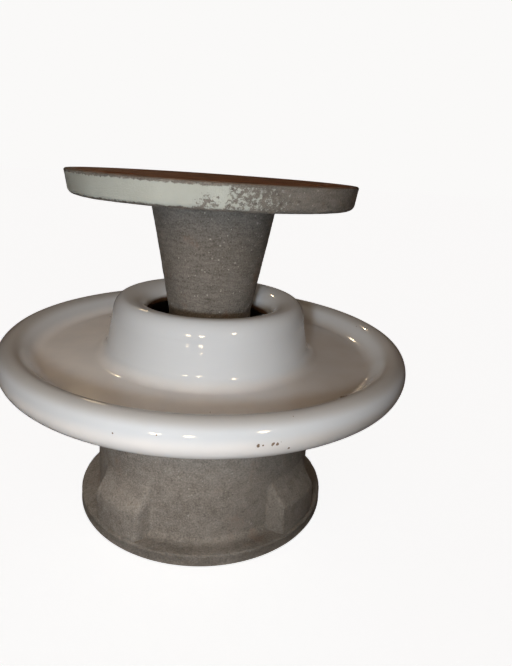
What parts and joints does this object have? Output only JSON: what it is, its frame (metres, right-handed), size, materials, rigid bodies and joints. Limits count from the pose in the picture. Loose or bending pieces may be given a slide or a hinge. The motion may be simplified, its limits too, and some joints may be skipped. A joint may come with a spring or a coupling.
{
  "type": "cap and pin insulator",
  "caption": "Cap and pin porcelain insulator: a dished shed with a collar, cemented into an iron cap and around a flanged iron pin.",
  "frame": {"origin": "centre of the iron cap's flat mounting face, on the part's axis, at the bottom", "axes": "+Z is the part's axis, from the cap up to the pin's flange; +X and +Y lie midway between bolt holes"},
  "size_m": [0.2275, 0.2276, 0.1905],
  "materials": {
    "weathered_cap_iron": "matte",
    "weathered_pin_iron": "matte",
    "grey_glaze": "gloss",
    "fused_grit": "matte",
    "cement": "matte",
    "bitumen": "satin",
    "cork": "matte"
  },
  "bodies": {
    "root": {"cap": "weathered_cap_iron", "cap_bitumen_coat": "bitumen", "cap_cement": "cement", "head_cushion": "cork", "head_sand_band": "fused_grit", "porcelain_shell": "grey_glaze", "pin_hole_sand_band": "fused_grit", "pin_cement": "cement", "pin_bitumen_coat": "bitumen", "pin_end_cushion": "cork", "pin": "weathered_pin_iron"}
  },
  "joints": []
}
